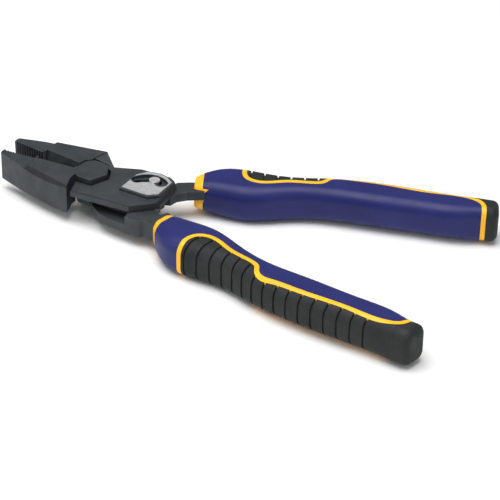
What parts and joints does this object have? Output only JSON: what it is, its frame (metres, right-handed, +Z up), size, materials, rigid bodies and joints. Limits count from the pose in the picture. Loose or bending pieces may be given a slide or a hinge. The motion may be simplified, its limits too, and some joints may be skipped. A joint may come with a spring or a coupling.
{
  "type": "lineman pliers",
  "caption": "Compound-leverage side-cutting lineman pliers with toothed jaws, a slotted link plate and three-material moulded grips.",
  "frame": {"origin": "on the main pivot's axis, at the middle of the head's thickness", "axes": "+X along the line between the handles, from the pivot towards the grips; +Y towards the fixed half's handle; +Z up along the pivots, out of the badge side"},
  "size_m": [0.2402, 0.126, 0.0219],
  "materials": {
    "forging": "black oxide over a fine forged texture, worn at the edges",
    "rivet_steel": "dark oiled steel",
    "pin_steel": "satin steel",
    "badge_metal": "blasted satin",
    "yellow_plastic": "moulded, slight gloss",
    "blue_plastic": "moulded, satin",
    "black_rubber": "moulded rubber with cross grooves"
  },
  "bodies": {
    "fixed_half": {"fixed_jaw": "forging", "badge_plate": "badge_metal", "main_rivet": "rivet_steel", "far_core": "yellow_plastic", "far_collar": "yellow_plastic", "far_sleeve": "blue_plastic", "far_panel": "black_rubber", "far_end_cap": "black_rubber"},
    "jaw": {"moving_jaw": "forging"},
    "lever": {"lever_handle": "forging", "link_rivet": "rivet_steel", "slot_pin": "pin_steel", "near_core": "yellow_plastic", "near_collar": "yellow_plastic", "near_sleeve": "blue_plastic", "near_panel": "black_rubber", "near_end_cap": "black_rubber"}
  },
  "joints": [
    {"name": "jaw_pivot", "type": "hinge", "parent": "fixed_half", "child": "jaw", "pos_m": [0, 0, 0], "axis": [0, 0, 1], "range_deg": [-10.6, 1.5]},
    {"name": "lever_pivot", "type": "hinge", "parent": "jaw", "child": "lever", "pos_m": [0.0249, -0.0068, 0], "axis": [0, 0, 1], "range_deg": [-4.8, 34.1]}
  ],
  "couplings": [
    {"joint": "jaw_pivot", "follows": "lever_pivot", "ratio": -0.31034}
  ]
}
